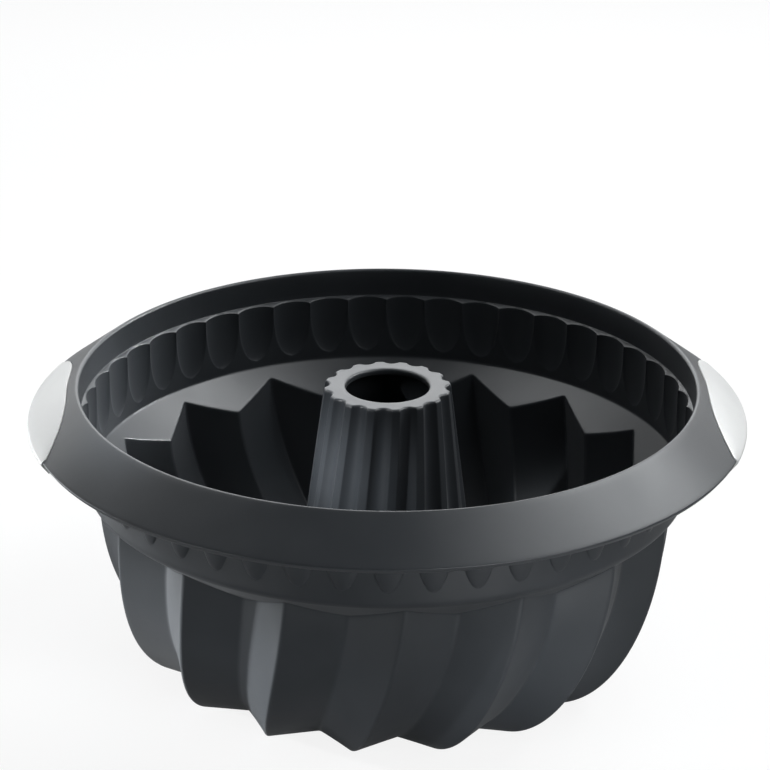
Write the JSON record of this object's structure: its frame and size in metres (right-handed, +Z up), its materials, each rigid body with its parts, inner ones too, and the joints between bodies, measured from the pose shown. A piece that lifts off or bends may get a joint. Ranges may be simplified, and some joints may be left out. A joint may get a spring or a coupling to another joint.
{
  "type": "savarin mould",
  "caption": "Round silicone mould for ring cakes, with swirled lobes, a scalloped upper wall, a fluted centre tube and a wide sloping rim with side grips.",
  "frame": {"origin": "centre of the base, on the surface that the mould stands on", "axes": "+Z up along the centre tube, -Y towards the front of the picture, +X through the right grip"},
  "size_m": [0.261, 0.259, 0.1108],
  "materials": {
    "silicone": "satin charcoal silicone",
    "silver": "satin",
    "backing": "matte black",
    "steel": "plain steel"
  },
  "bodies": {
    "root": {"mould_body": "silicone", "rim_hoop": "steel", "grip_shell_left": "silver", "grip_backing_left": "backing", "grip_screw_left_1": "steel", "grip_screw_left_2": "steel", "grip_screw_left_3": "steel", "grip_shell_right": "silver", "grip_backing_right": "backing", "grip_screw_right_1": "steel", "grip_screw_right_2": "steel", "grip_screw_right_3": "steel"}
  },
  "joints": []
}
